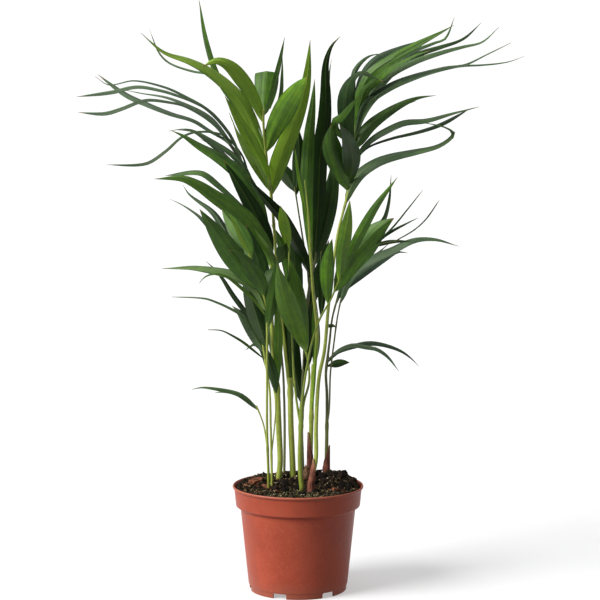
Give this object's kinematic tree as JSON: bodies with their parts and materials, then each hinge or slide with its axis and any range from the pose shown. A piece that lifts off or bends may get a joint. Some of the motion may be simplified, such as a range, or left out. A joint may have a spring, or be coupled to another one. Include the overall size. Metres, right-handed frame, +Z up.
{
  "type": "potted palm",
  "caption": "Young palm in a round plastic nursery pot: thin leafy stems with long, narrow, arching blades stand in soil with bits of bark.",
  "frame": {"origin": "middle of the pot's foot, on the surface that it stands on", "axes": "+Z up along the pot's axis, -Y towards the viewer of the picture, +X to the viewer's right"},
  "size_m": [0.4179, 0.268, 0.5371],
  "materials": {
    "pot": "satin terracotta-red plastic",
    "soil": "moist dark potting mix",
    "bark": "rough red-brown bark",
    "husk": "dry, fibrous, red-brown",
    "leaf_bright": "satin leaf with fine ribs, bright green",
    "leaf_green": "satin leaf with fine ribs, mid green",
    "leaf_dark": "satin leaf with fine ribs, dark green"
  },
  "bodies": {
    "root": {"pot": "pot", "soil": "soil", "bud": "husk", "leafy_stem_middle": "leaf_bright", "leafy_stem_left_front": "leaf_bright", "leafy_stem_front": "leaf_bright", "leafy_stem_right_front": "leaf_green", "leafy_stem_right_middle": "leaf_green", "leafy_stem_left_middle": "leaf_green", "leafy_stem_right": "leaf_green", "leafy_stem_left": "leaf_dark", "leafy_stem_left_back": "leaf_dark", "leafy_stem_back": "leaf_dark", "sheath_right_middle": "husk", "sheath_right_front": "husk", "sheath_right": "husk", "bark_chip_left": "bark", "bark_chip_front": "bark", "bark_chip_right": "bark", "bark_chip_back": "bark"}
  },
  "joints": []
}
